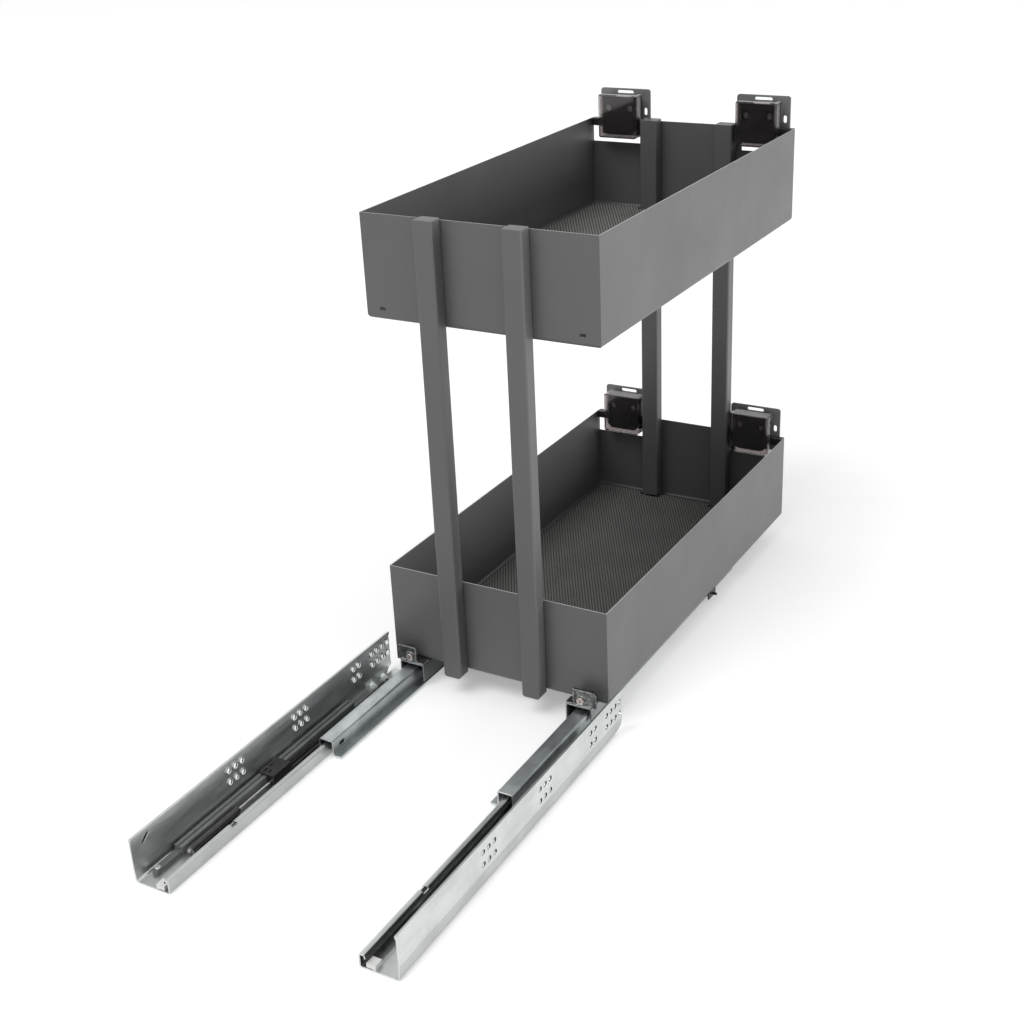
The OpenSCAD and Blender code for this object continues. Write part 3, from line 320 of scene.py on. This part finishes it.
def finish(
    name,
    base,
    rough,
    tones=(0.92, 1.08),
    tone_scale=14.0,
    stretch=(1.0, 1.0, 1.0),
    rough_swing=0.06,
    grain_scale=900.0,
    grain_depth=0.00002,
    edge=0.0,
    edge_highlight=None,
    smudge=None,
    patches=(),
    **plain,
):
    """A Principled material: two-tone colour, roughness that varies with a second noise, fine grain as bump,
    rounded edges where edge is over 0, with a painted highlight in the given edge colour along them, darker
    smudges where smudge is (scale, strength), patches that are darker or paler, most of them painted shade
    and painted highlights, each as (low corner, high corner, way the faces are turned, factor), and plain
    values set on the shader itself."""
    material = bpy.data.materials.new(name)
    material.use_nodes = True
    tree = material.node_tree
    shader = tree.nodes["Principled BSDF"]
    where = add(tree, "ShaderNodeTexCoord").outputs["Object"]
    low, high = shade(base, *tones)
    tone = group_node(
        tree, "Tone", tone_group, Vector=where, Stretch=stretch, Scale=tone_scale, Contrast=TONE_CONTRAST,
        Low=low, High=high,
    )
    tint = tone.outputs["Colour"]
    if patches:
        scaled = add(tree, "ShaderNodeVectorMath", {"operation": "SCALE"})
        feed(tree, scaled.inputs[0], tint)
        factors = [patch_strength(tree, where, *patch) for patch in patches]
        feed(tree, scaled.inputs["Scale"], product(tree, *factors))
        tint = scaled.outputs[0]
    if smudge:
        smudge_scale, strength = smudge
        marks = group_node(
            tree, "Tone", tone_group, Vector=where, Scale=smudge_scale, Contrast=SMUDGE_CONTRAST,
            Low=(1.0, 1.0, 1.0), High=(1.0 - strength,) * 3,
        )
        tint = mixed(tree, 1.0, tint, marks.outputs["Colour"], "MULTIPLY")
    swing = group_node(
        tree, "Tone", tone_group, Vector=where, Stretch=stretch, Scale=tone_scale * SWING_FINER,
        Contrast=SWING_CONTRAST,
    )
    gloss = add(
        tree, "ShaderNodeMapRange", Value=swing.outputs["Mask"], To_Min=rough - rough_swing,
        To_Max=rough + rough_swing,
    )
    feed(tree, shader.inputs["Roughness"], gloss.outputs[0])
    grain = group_node(tree, "Grain", grain_group, Vector=where, Stretch=stretch, Scale=grain_scale)
    bump = add(tree, "ShaderNodeBump", Height=grain.outputs["Height"], Strength=1.0, Distance=grain_depth)
    if edge > 0:
        edge_rounding_and_highlight = group_node(tree, "Edges", edge_group, Radius=edge)
        feed(tree, bump.inputs["Normal"], edge_rounding_and_highlight.outputs["Normal"])
        # The edge colour is a painted highlight along the edges
        if edge_highlight:
            tint = mixed(tree, edge_rounding_and_highlight.outputs["Mask"], tint, edge_highlight)
    feed(tree, shader.inputs["Normal"], bump.outputs[0])
    feed(tree, shader.inputs["Base Color"], tint)
    for key, value in plain.items():
        feed(tree, shader.inputs[key.replace("_", " ")], value)
    return material


def rail_shade_and_highlights():
    """The painted shade and painted highlights of a cabinet rail, measured from its outer face and its floor.
    """
    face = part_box("cabinet_rail_right")[1][0]
    sheet = 0.0012
    inside, mid_sheet = face - sheet, face - sheet / 2
    crease, crease_wide = 0.0143, 0.0004
    fold_in, fold = 0.125, 0.0034
    bead_in, bead_out = 0.09, 0.1
    groove_low, groove_out = 0.02, 0.0003
    rib_low, rib_high = (0.115, -0.09, 0.0018), (0.1298, -0.045, 0.018)
    hole_low, hole_high = 0.015, 0.038
    rear_end, front_end = -0.42, -0.05
    # Painted shade in the channel, on the band under the crease and its line, along the bottom fold, on the
    # bead, in the groove and on the hole walls; painted highlight on the pressed ribs
    channel = (ALL_LOW, (inside, FAR, FAR), OUTWARDS, 0.11)
    band = ((inside + FADE, -FAR, -FAR), (FAR, FAR, crease), OUTWARDS, 0.86)
    crease_line = ((inside + FADE, -FAR, crease - crease_wide), (FAR, FAR, crease), OUTWARDS, 0.75)
    bottom_fold = ((fold_in, -FAR, -FAR), (FAR, FAR, fold), OUTWARDS, 0.6)
    bead = ((bead_in, -FAR, -FAR), (bead_out, FAR, FAR), INWARDS, 0.75)
    ribs = (rib_low, rib_high, None, 1.6)
    groove = ((mid_sheet - FADE, -FAR, groove_low), (mid_sheet + groove_out, FAR, FAR), INWARDS, 0.06)
    hole_walls = ((inside - FADE / 2, rear_end, hole_low), (FAR, front_end, hole_high), BACKWARDS, 0.02)
    return (channel, band, crease_line, bottom_fold, bead, ribs, groove, hole_walls)


def dress(material, *names):
    """Gives CAD nodes one material."""
    for name in names:
        mesh = NODES[name].data
        mesh.materials.clear()
        mesh.materials.append(material)


def pairs(*names):
    """Both sides' node names of each name."""
    return [f"{name}_{side}" for name in names for side in SIDES]


# Surfaces


def pip_sheet(name, floor, keep_out, pitch, radius, height):
    """Pips of an anti-slip mat as one mesh. Their centres are a hexagonal lattice: rows along X, every other
    one shifted by half the pitch, rows half the pitch times the root of three apart. Each pip is a six-sided
    frustum: a ring of the foot's radius on the mat, and one of six tenths of it at the pip's height."""
    low, high = (np.array(corner) for corner in floor)
    row_step = pitch * np.sqrt(3) / 2
    spare, taper = 1.6, 0.6
    margin = radius * spare
    columns = np.arange(low[0] + margin, high[0] - margin - pitch / 2, pitch)
    rows = np.arange(low[1] + margin, high[1] - margin, row_step)
    x, y = np.meshgrid(columns, rows)
    x = x + (np.arange(len(rows)) % 2)[:, None] * pitch / 2
    x, y = x.ravel(), y.ravel()
    free = np.ones(len(x), bool)
    for a, b in keep_out:
        free &= ~((x > a[0] - margin) & (x < b[0] + margin) & (y > a[1] - margin) & (y < b[1] + margin))
    x, y = x[free], y[free]
    turn = np.arange(6) * np.pi / 3
    rings = [(radius, 0.0), (radius * taper, height)]
    layers = [
        np.stack([
            x[:, None] + r * np.cos(turn),
            y[:, None] + r * np.sin(turn),
            np.full((len(x), 6), high[2] + z),
        ], -1)
        for r, z in rings
    ]
    points = np.stack(layers, 1).reshape(-1, 3)
    k = np.arange(6)
    sides = np.stack([k, (k + 1) % 6, (k + 1) % 6 + 6, k + 6], -1)
    top = np.array([[6, 7, 8, 9], [9, 10, 11, 6]])
    faces = (np.vstack([sides, top])[None] + (np.arange(len(x)) * 12)[:, None, None]).reshape(-1, 4)
    return mesh_piece(name, points, faces)


def mesh_piece(name, points, faces):
    """An object at the origin from arrays of points and of four-sided faces."""
    mesh = bpy.data.meshes.new(name)
    mesh.vertices.add(len(points))
    mesh.vertices.foreach_set("co", points.astype(np.float32).ravel())
    mesh.loops.add(faces.size)
    mesh.loops.foreach_set("vertex_index", faces.astype(np.int32).ravel())
    mesh.polygons.add(len(faces))
    mesh.polygons.foreach_set("loop_start", np.arange(0, faces.size, faces.shape[1], dtype=np.int32))
    mesh.update(calc_edges=True)
    mesh.validate()
    piece = bpy.data.objects.new(name, mesh)
    bpy.context.scene.collection.objects.link(piece)
    return piece


# Operators


class BASKET_OT_coat(bpy.types.Operator):
    """Coats trays, posts and door plates with a satin powder coat, with painted highlights on the tray rims
    and post edges
    """

    bl_idname = "basket.coat"
    bl_label = "Coat trays and posts"

    def execute(self, context):
        colours, texture = context.scene.basket_colours, context.scene.basket_texture
        coated = dict(grain_scale=1400.0, grain_depth=0.00003, edge=texture.edge)
        # Painted highlight on the top edges of the tray rims, four and a half times the coat colour
        rim_highlights = []
        rim_below, rim_above = 0.0003, 0.001
        for tier in TIERS:
            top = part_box(f"{tier}_tray")[1][2]
            rim_highlights.append(((0.0, -FAR, top - rim_below), (FAR, FAR, top + rim_above), UPWARDS, 4.5))
        coat = finish(
            "satin powder coat", colours.coat, texture.coat_rough, tones=(0.95, 1.05), tone_scale=5.0,
            patches=rim_highlights, **coated,
        )
        dress(coat, "lower_tray", "upper_tray")
        # The posts' edges take a painted highlight at nearly twice the coat colour
        tube = finish(
            "tube powder coat", colours.coat, texture.coat_rough, tones=(0.95, 1.05), tone_scale=5.0,
            edge_highlight=toned(colours.coat, 1.9), **coated,
        )
        dress(tube, *pairs("rear_post", "front_post"))
        plate = finish(
            "plate coat", colours.plate, texture.coat_rough, tones=(0.9, 1.1), tone_scale=40.0, **coated,
        )
        dress(plate, *pairs("door_plate_lower", "door_plate_upper"))
        return {"FINISHED"}


class BASKET_OT_mats(bpy.types.Operator):
    """Lays the anti-slip mats: a rubber sheet with staggered pips on each tray floor"""

    bl_idname = "basket.mats"
    bl_label = "Lay the mats"

    def execute(self, context):
        colours, texture = context.scene.basket_colours, context.scene.basket_texture
        # The sheet between the pips is a quarter of the mat colour: painted shade between the pips
        sheet = finish(
            "mat rubber", toned(colours.mat, 0.25), 0.85, tones=(0.9, 1.1), tone_scale=30.0,
            grain_scale=1100.0, grain_depth=0.00004,
        )
        pips = finish(
            "mat pips", colours.mat, 0.7, tones=(0.88, 1.12), tone_scale=25.0, grain_scale=1600.0,
            grain_depth=0.00003,
        )
        posts = [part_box(f"front_post_{side}") for side in SIDES]
        for tier in TIERS:
            dress(sheet, f"{tier}_mat")
            piece = pip_sheet(
                f"{tier}_mat_pips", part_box(f"{tier}_mat"), posts, texture.pip_pitch, texture.pip_radius,
                texture.pip_height,
            )
            piece.data.materials.append(pips)
            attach(piece, "basket")
        return {"FINISHED"}


class BASKET_OT_brackets(bpy.types.Operator):
    """Finishes the adjusters and their smoked covers"""

    bl_idname = "basket.brackets"
    bl_label = "Finish the brackets"

    def execute(self, context):
        colours = context.scene.basket_colours
        # The adjusters' edges take a painted highlight in a lighter grey
        body = finish(
            "adjuster plastic", colours.black, 0.38, tones=(0.85, 1.25), tone_scale=60.0, grain_scale=2200.0,
            grain_depth=0.00002, edge=0.0004, edge_highlight=(0.06, 0.058, 0.058),
        )
        dress(body, *pairs("adjuster_lower", "adjuster_upper"))
        cover = finish(
            "smoked cover", colours.smoke, 0.09, tones=(0.93, 1.05), tone_scale=30.0, rough_swing=0.03,
            grain_scale=500.0, grain_depth=0.000004, Transmission_Weight=0.98, IOR=1.49,
        )
        dress(cover, *pairs("cover_lower", "cover_upper"))
        return {"FINISHED"}


class BASKET_OT_slides(bpy.types.Operator):
    """Gives rails and hooks their rolled zinc, with streaks along them, handling smudges, painted shade in
    the rails' channels, holes and inner faces, and painted highlights on their ribs and edges
    """

    bl_idname = "basket.slides"
    bl_label = "Finish the slides"

    def execute(self, context):
        colours, texture = context.scene.basket_colours, context.scene.basket_texture
        rolled = dict(
            stretch=(1.0, 0.12, 1.0), rough_swing=0.05, grain_depth=0.00002, edge=texture.edge, Metallic=1.0
        )
        oiled = dict(tone_scale=160.0, grain_scale=1100.0, smudge=(40.0, 0.2), **rolled)
        # The cabinet rail takes painted shade and painted highlights from its patches, and a painted
        # highlight along its edges
        rail = finish(
            "bright rolled zinc", colours.zinc, texture.zinc_rough, tones=(0.95, 1.05), tone_scale=120.0,
            grain_scale=900.0, smudge=(28.0, 0.1), edge_highlight=(0.85, 0.87, 0.87),
            patches=rail_shade_and_highlights(), **rolled,
        )
        dress(rail, *pairs("cabinet_rail"))
        slide_rough = texture.zinc_rough + 0.04
        # Painted shade on the faces of the middle and drawer rails that turn in under the basket
        shaded_inner_faces = (ALL_LOW, (0.12, FAR, FAR), INWARDS)
        middle = finish(
            "oiled rolled zinc", colours.slide, slide_rough, tones=(0.92, 1.08), edge_highlight=(0.62, 0.64, 0.64),
            patches=[(*shaded_inner_faces, 0.65)], **oiled,
        )
        dress(middle, *pairs("middle_rail"))
        # The drawer rail is the slide zinc at half its colour: painted shade under the basket
        drawer = finish(
            "shaded rolled zinc", toned(colours.slide, 0.5), slide_rough, tones=(0.9, 1.1),
            edge_highlight=(0.5, 0.52, 0.52), patches=[(*shaded_inner_faces, 0.3)], **oiled,
        )
        dress(drawer, *pairs("drawer_rail"))
        # The hook's edges take a painted highlight, near white
        hook = finish(
            "stamped zinc", toned(colours.zinc, 0.36), texture.zinc_rough + 0.05,
            tones=(0.5, 1.3), tone_scale=260.0, grain_scale=1500.0, grain_depth=0.00004, smudge=(90.0, 0.4),
            edge=texture.edge, edge_highlight=(0.95, 0.96, 0.95), Metallic=1.0,
        )
        dress(hook, *pairs("rear_hook"))
        return {"FINISHED"}


class BASKET_OT_runners(bpy.types.Operator):
    """Finishes cages, rollers and stops"""

    bl_idname = "basket.runners"
    bl_label = "Finish the runners"

    def execute(self, context):
        colours = context.scene.basket_colours
        # The cages' edges take a painted highlight in a lighter grey
        cage = finish(
            "cage plastic", toned(colours.black, 1.3), 0.42, tones=(0.8, 1.25), tone_scale=90.0,
            grain_scale=2400.0, grain_depth=0.00002, edge=SMALL_EDGE, edge_highlight=(0.09, 0.09, 0.09),
        )
        dress(cage, *pairs("lower_cage", "upper_cage"))
        pale = finish(
            "pale plastic", colours.pale, 0.35, tones=(0.93, 1.03), tone_scale=120.0, grain_scale=2600.0,
            grain_depth=0.00001, edge=SMALL_EDGE,
        )
        dress(pale, *pairs("lower_rollers", "upper_rollers", "rail_stop"))
        return {"FINISHED"}


class BASKET_OT_closing(bpy.types.Operator):
    """Finishes the soft-close units, triggers and front catches"""

    bl_idname = "basket.closing"
    bl_label = "Finish the soft-close units"

    def execute(self, context):
        colours = context.scene.basket_colours
        moulded = dict(grain_scale=2200.0, grain_depth=0.00002, edge=SMALL_EDGE)
        # Catches, triggers, saddles and housings take a painted highlight along their edges, strongest on the
        # saddles
        black = finish(
            "catch plastic", colours.black, 0.36, tones=(0.8, 1.3), tone_scale=80.0,
            edge_highlight=(0.1, 0.1, 0.1), **moulded,
        )
        dress(black, *pairs("trigger", "front_catch"))
        saddle = finish(
            "saddle plastic", colours.black, 0.36, tones=(0.8, 1.3), tone_scale=80.0,
            edge_highlight=(0.3, 0.3, 0.3), **moulded,
        )
        dress(saddle, *pairs("soft_close_catch"))
        grey = finish(
            "housing plastic", colours.grey, 0.4, tones=(0.88, 1.1), tone_scale=60.0,
            edge_highlight=(0.42, 0.43, 0.43), **moulded,
        )
        dress(grey, *pairs("soft_close_housing"))
        lever = finish(
            "lever plastic", toned(colours.grey, 2.4), 0.38, tones=(0.92, 1.06), tone_scale=90.0, **moulded,
        )
        dress(lever, *pairs("catch_lever"))
        return {"FINISHED"}


class BASKET_OT_screws(bpy.types.Operator):
    """Finishes screws, damper cylinders and their rods"""

    bl_idname = "basket.screws"
    bl_label = "Finish screws and dampers"

    def execute(self, context):
        colours = context.scene.basket_colours
        turned = dict(
            tones=(0.8, 1.15), tone_scale=260.0, grain_scale=2600.0, grain_depth=0.00001, edge=SMALL_EDGE
        )
        # The screws' edges take a painted highlight, near white
        steel = finish(
            "screw steel", colours.screw, 0.3, edge_highlight=(0.85, 0.85, 0.84), Metallic=1.0, **turned,
        )
        dress(steel, *(f"{kind}_screws" for kind in ("post", "adjusting", "plate", "housing")))
        yellowing = (0.86, 0.76, 0.74)
        warm = finish(
            "yellowed screw steel", tuple(c * t for c, t in zip(colours.screw, yellowing)), 0.42,
            tones=(0.75, 1.1), tone_scale=300.0, grain_scale=2600.0, grain_depth=0.00002, edge=SMALL_EDGE,
            Metallic=1.0,
        )
        dress(warm, "hook_screws")
        clamp_end = -0.3751
        past_clamp = ((0.0, clamp_end, -FAR), ALL_HIGH, None, 0.1)
        damper = finish("damper steel", colours.screw, 0.3, patches=[past_clamp], **turned)
        dress(damper, *pairs("damper"))
        rod = finish(
            "polished rod", (0.8, 0.8, 0.79), 0.16, tones=(0.94, 1.05), tone_scale=300.0,
            stretch=(1.0, 8.0, 1.0), rough_swing=0.03, grain_scale=3000.0, grain_depth=0.000004, Metallic=1.0,
        )
        dress(rod, *pairs("damper_rod"))
        return {"FINISHED"}


class BASKET_OT_stage(bpy.types.Operator):
    """Builds the pale floor, the soft lights, the white surround and the camera"""

    bl_idname = "basket.stage"
    bl_label = "Set up the studio"

    def execute(self, context):
        studio = context.scene.basket_studio
        lay_floor(studio)
        light_sky(studio)
        soft_light("key light", place=(-2.6, -7.6, 13.0), aim=(0.0, 0.0, 0.2), size=8.0, watts=studio.key)
        soft_light("side light", place=(6.0, 0.4, 1.1), aim=(0.0, 0.1, 0.15), size=2.0, watts=studio.side)
        set_camera(context.scene)
        context.scene.view_settings.view_transform = "Standard"
        return {"FINISHED"}


def seen_rays(tree):
    """A mask that is 1 where the camera looks, directly, by a reflection or through glass."""
    path = add(tree, "ShaderNodeLightPath").outputs
    mask = path["Is Camera Ray"]
    for kind in ("Is Glossy Ray", "Is Transmission Ray"):
        either = add(tree, "ShaderNodeMath", {"operation": "MAXIMUM"})
        feed(tree, either.inputs[0], mask)
        feed(tree, either.inputs[1], path[kind])
        mask = either.outputs[0]
    return mask


def lay_floor(studio):
    """A pale floor that keeps the shadows and reads white where none falls."""
    reach = 9.0
    corners = reach * np.array([[-1.0, -1.0, 0.0], [1.0, -1.0, 0.0], [1.0, 1.0, 0.0], [-1.0, 1.0, 0.0]])
    floor = mesh_piece("studio_floor", corners, np.array([[0, 1, 2, 3]]))
    material = bpy.data.materials.new("pale floor")
    material.use_nodes = True
    tree = material.node_tree
    tree.nodes.clear()
    diffuse = add(tree, "ShaderNodeBsdfDiffuse", Color=(studio.floor,) * 3)
    lift = add(tree, "ShaderNodeMath", {"operation": "MULTIPLY"})
    feed(tree, lift.inputs[0], seen_rays(tree))
    feed(tree, lift.inputs[1], studio.floor_lift)
    glow = add(tree, "ShaderNodeEmission", Strength=lift.outputs[0])
    both = add(tree, "ShaderNodeAddShader")
    tree.links.new(diffuse.outputs[0], both.inputs[0])
    tree.links.new(glow.outputs[0], both.inputs[1])
    out = add(tree, "ShaderNodeOutputMaterial")
    tree.links.new(both.outputs[0], out.inputs["Surface"])
    floor.data.materials.append(material)


def light_sky(studio):
    """Even light from all round, and a white surround for the camera."""
    world = bpy.data.worlds.new("studio surround")
    world.use_nodes = True
    bpy.context.scene.world = world
    tree = world.node_tree
    back = tree.nodes["Background"]
    strength = add(tree, "ShaderNodeMapRange", Value=seen_rays(tree), To_Min=studio.sky, To_Max=1.0)
    feed(tree, back.inputs["Color"], (1.0, 1.0, 1.0))
    feed(tree, back.inputs["Strength"], strength.outputs[0])


def soft_light(name, place, aim, size, watts):
    """A square area light that looks at a point."""
    lamp = bpy.data.lights.new(name, "AREA")
    lamp.size = size
    lamp.energy = watts
    holder = bpy.data.objects.new(name, lamp)
    bpy.context.scene.collection.objects.link(holder)
    place, aim = np.array(place), np.array(aim)
    back = (place - aim) / np.linalg.norm(place - aim)
    right = np.cross((0.0, 0.0, 1.0), back)
    right = right / np.linalg.norm(right)
    up = np.cross(back, right)
    holder.matrix_world = placed(right, up, back, place)


def placed(right, up, back, place):
    """A matrix from three axes and a place."""
    return Matrix([[right[i], up[i], back[i], place[i]] for i in range(3)] + [[0.0, 0.0, 0.0, 1.0]])


def set_camera(scene):
    """The camera at the photograph's angle, found by least squares from the trays' and rails' edges."""
    lens = bpy.data.cameras.new("photo camera")
    lens.sensor_width = 36.0
    lens.lens = 53.299
    holder = bpy.data.objects.new("photo camera", lens)
    scene.collection.objects.link(holder)
    right = (0.86978173, 0.49153406, -0.04328974)
    down = (0.17298139, -0.38590249, -0.90617697)
    ahead = (-0.46212247, 0.78068786, -0.42067718)
    up = [-v for v in down]
    back = [-v for v in ahead]
    holder.matrix_world = placed(right, up, back, (0.66771, -1.133543, 0.793321))
    scene.camera = holder


STEPS = (
    BASKET_OT_coat,
    BASKET_OT_mats,
    BASKET_OT_brackets,
    BASKET_OT_slides,
    BASKET_OT_runners,
    BASKET_OT_closing,
    BASKET_OT_screws,
    BASKET_OT_stage,
)


class BASKET_PT_panel(bpy.types.Panel):
    """Lists the steps and settings"""

    bl_idname = "BASKET_PT_panel"
    bl_label = "Basket"
    bl_space_type = "VIEW_3D"
    bl_region_type = "UI"
    bl_category = "Basket"

    def draw(self, context):
        for group in ("basket_colours", "basket_texture", "basket_studio"):
            settings = getattr(context.scene, group)
            for key in settings.__annotations__:
                self.layout.prop(settings, key)
        for step in STEPS:
            self.layout.operator(step.bl_idname)


GROUPS = {"basket_colours": BasketColours, "basket_texture": BasketTexture, "basket_studio": BasketStudio}


def register():
    for kind in (*GROUPS.values(), *STEPS, BASKET_PT_panel):
        bpy.utils.register_class(kind)
    for key, kind in GROUPS.items():
        setattr(bpy.types.Scene, key, bpy.props.PointerProperty(type=kind))


def unregister():
    for key in GROUPS:
        delattr(bpy.types.Scene, key)
    for kind in reversed((*GROUPS.values(), *STEPS, BASKET_PT_panel)):
        bpy.utils.unregister_class(kind)


def main():
    """Runs the steps in order."""
    register()
    for step in STEPS:
        family, action = step.bl_idname.split(".")
        getattr(getattr(bpy.ops, family), action)()


if __name__ == "__main__":
    main()
